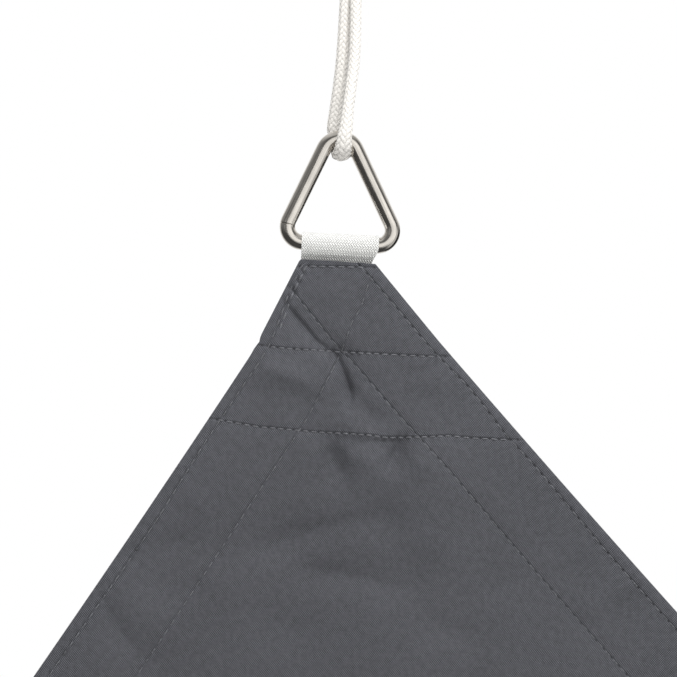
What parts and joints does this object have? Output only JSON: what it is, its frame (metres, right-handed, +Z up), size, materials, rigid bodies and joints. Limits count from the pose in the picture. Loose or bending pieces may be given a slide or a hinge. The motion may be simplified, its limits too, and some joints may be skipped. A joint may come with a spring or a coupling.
{
  "type": "shade sail",
  "caption": "Square anthracite shade sail with hollow edges, hung by the triangular steel ring of its top corner from a doubled white rope.",
  "frame": {"origin": "inside top of the rope's eye, where it bears on whatever holds the sail up", "axes": "+Z up; the sail's face looks towards -Y; +X is to the right seen from its face"},
  "size_m": [2.8939, 0.0763, 3.015],
  "materials": {
    "cloth": "anthracite coated polyester, fine cross weave, faint sheen",
    "patch": "the same anthracite cloth, matt",
    "webbing": "white woven webbing, matt",
    "steel": "stainless steel wire, finely brushed",
    "rope": "white braided rope, matt"
  },
  "bodies": {
    "root": {"sail": "cloth", "corner_patch_top": "patch", "corner_patch_right": "patch", "corner_patch_bottom": "patch", "corner_patch_left": "patch", "webbing_top": "webbing", "webbing_right": "webbing", "webbing_bottom": "webbing", "webbing_left": "webbing", "ring_top": "steel", "ring_right": "steel", "ring_bottom": "steel", "ring_left": "steel", "rope_fall": "rope", "rope_eye": "rope", "rope_knot": "rope"}
  },
  "joints": []
}
